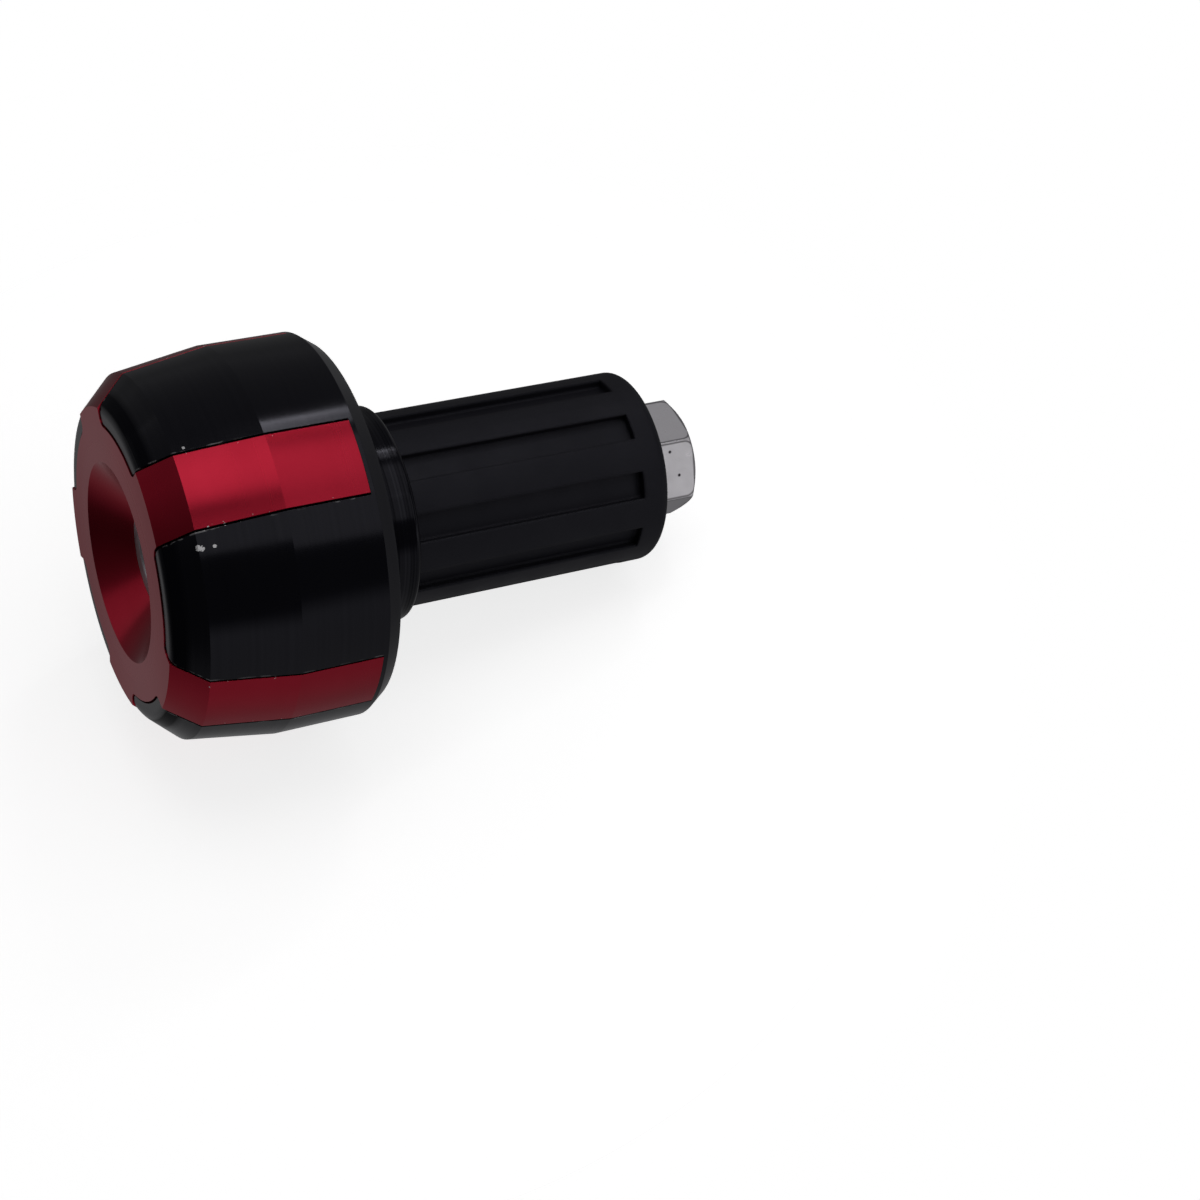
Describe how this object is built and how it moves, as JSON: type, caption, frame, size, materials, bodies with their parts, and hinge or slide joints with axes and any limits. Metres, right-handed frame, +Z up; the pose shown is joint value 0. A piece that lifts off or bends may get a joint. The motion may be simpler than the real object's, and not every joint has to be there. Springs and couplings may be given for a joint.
{
  "type": "bar end weight",
  "caption": "Round handlebar end weight with a slotted black shell over a red core, a recessed socket screw, a grooved rubber plug and a nut.",
  "frame": {"origin": "on the axis, in the plane where the collar stops against the end of the bar", "axes": "+X along the axis from the head to the nut, +Z up"},
  "size_m": [0.0562, 0.036, 0.036],
  "materials": {
    "black_anodised": "turned and milled aluminium, black anodised, semi-gloss",
    "red_anodised": "turned aluminium, red anodised, satin",
    "zinc_steel": "bright zinc plated steel",
    "rubber": "moulded rubber, matt"
  },
  "bodies": {
    "root": {"petal_shell": "black_anodised", "core": "red_anodised", "cap_screw": "zinc_steel", "rubber_sleeve": "rubber", "hex_nut": "zinc_steel"}
  },
  "joints": []
}
